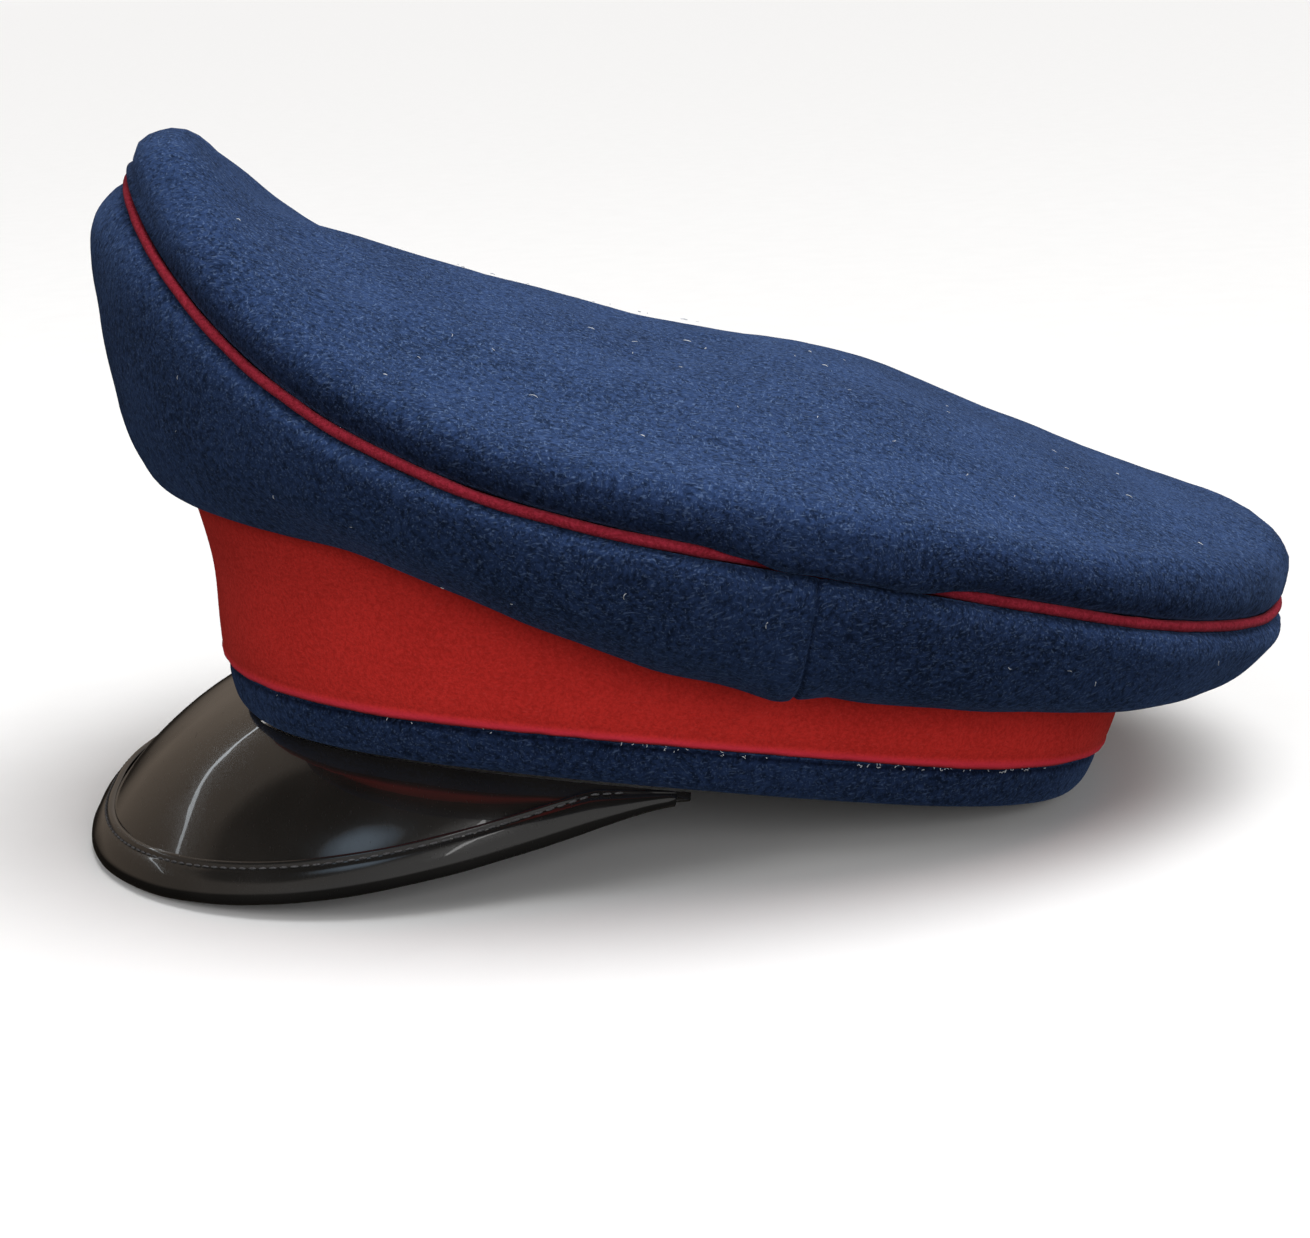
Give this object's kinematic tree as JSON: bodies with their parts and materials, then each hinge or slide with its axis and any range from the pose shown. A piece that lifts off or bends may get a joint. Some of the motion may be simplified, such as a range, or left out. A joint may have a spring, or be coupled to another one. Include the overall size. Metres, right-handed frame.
{
  "type": "peaked cap",
  "caption": "Peaked dress cap: wide saddle-shaped cloth crown, raised front, piped seam, flared band over a dark welt, glossy bound peak; lies on its peak and welt, open below.",
  "frame": {"origin": "on the table, under the middle of the bounding box of the cap as it lies", "axes": "front (the peak) towards -Y, the wearer's left towards +X, up +Z"},
  "size_m": [0.2602, 0.3026, 0.1703],
  "materials": {
    "wool_navy": "matt, dense milled wool with a short nap",
    "wool_red": "matt, fine milled wool",
    "piping_red": "matt, cloth over a cord",
    "patent_black": "high gloss patent coat"
  },
  "bodies": {
    "root": {"crown_top": "wool_navy", "quarter_front_left": "wool_navy", "quarter_front_right": "wool_navy", "quarter_back_left": "wool_navy", "quarter_back_right": "wool_navy", "welt": "wool_navy", "band": "wool_red", "piping": "piping_red", "peak": "patent_black", "peak_binding": "patent_black"}
  },
  "joints": []
}
